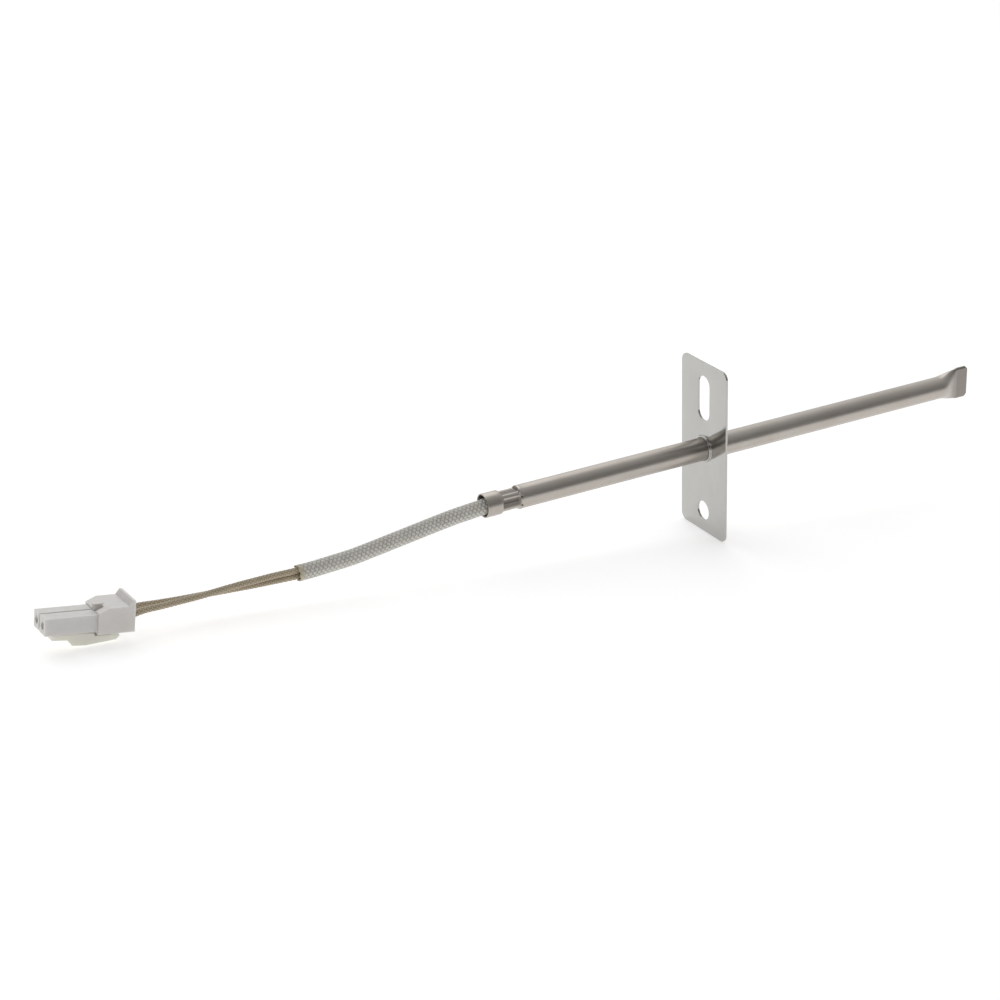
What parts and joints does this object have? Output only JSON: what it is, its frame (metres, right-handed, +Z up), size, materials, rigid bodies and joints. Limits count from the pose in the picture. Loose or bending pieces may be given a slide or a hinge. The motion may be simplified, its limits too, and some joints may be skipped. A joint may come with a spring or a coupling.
{
  "type": "oven temperature probe",
  "caption": "Steel tube probe with a flattened tip, a screw-on plate, a crimped end, sleeved glass-braided leads and a latching plug.",
  "frame": {"origin": "on the tube's axis, in the plate's mounting face, which looks towards the leads", "axes": "+X along the tube towards the flattened sensing tip, +Z up along the plate towards its slot, Y across the plate"},
  "size_m": [0.2796, 0.0212, 0.0495],
  "materials": {
    "tube_steel": "satin, slightly heat-toned",
    "plate_steel": "smooth satin sheet",
    "alumina": "matte",
    "glaze": "gloss",
    "nickel": "bright drawn wire",
    "magnesia": "matte packed powder",
    "strand": "fine bare strands",
    "white_braid": "glass braid with a soft sheen",
    "tan_braid": "varnished glass braid",
    "plug_plastic": "natural translucent moulding",
    "latch_plastic": "natural moulding with a faint yellow-green cast",
    "contact_metal": "bright tinned"
  },
  "bodies": {
    "probe": {"probe_tube": "tube_steel", "mounting_plate": "plate_steel", "sensing_chip": "alumina", "chip_glaze": "glaze", "element_lead_a": "nickel", "element_lead_b": "nickel", "core_wire_a": "nickel", "core_wire_b": "nickel", "front_insulator": "alumina", "rear_insulator": "alumina", "tip_packing": "magnesia", "splice_a": "nickel", "splice_b": "nickel", "splice_cover_a": "white_braid", "splice_cover_b": "white_braid", "strand_tail_a": "strand", "strand_tail_b": "strand", "lead_wire_a": "tan_braid", "lead_wire_b": "tan_braid", "outer_sleeve": "white_braid", "plug_housing": "plug_plastic", "contact_a": "contact_metal", "contact_b": "contact_metal", "strand_end_a": "strand", "strand_end_b": "strand"},
    "latch": {"latch_lever": "latch_plastic"}
  },
  "joints": [
    {"name": "latch_press", "type": "hinge", "parent": "probe", "child": "latch", "pos_m": [-0.18503, -0.00037, -0.0031], "axis": [0.0106, -0.9981, 0.0601], "range_deg": [0, 3], "stiffness_Nm_per_rad": 0.5}
  ]
}
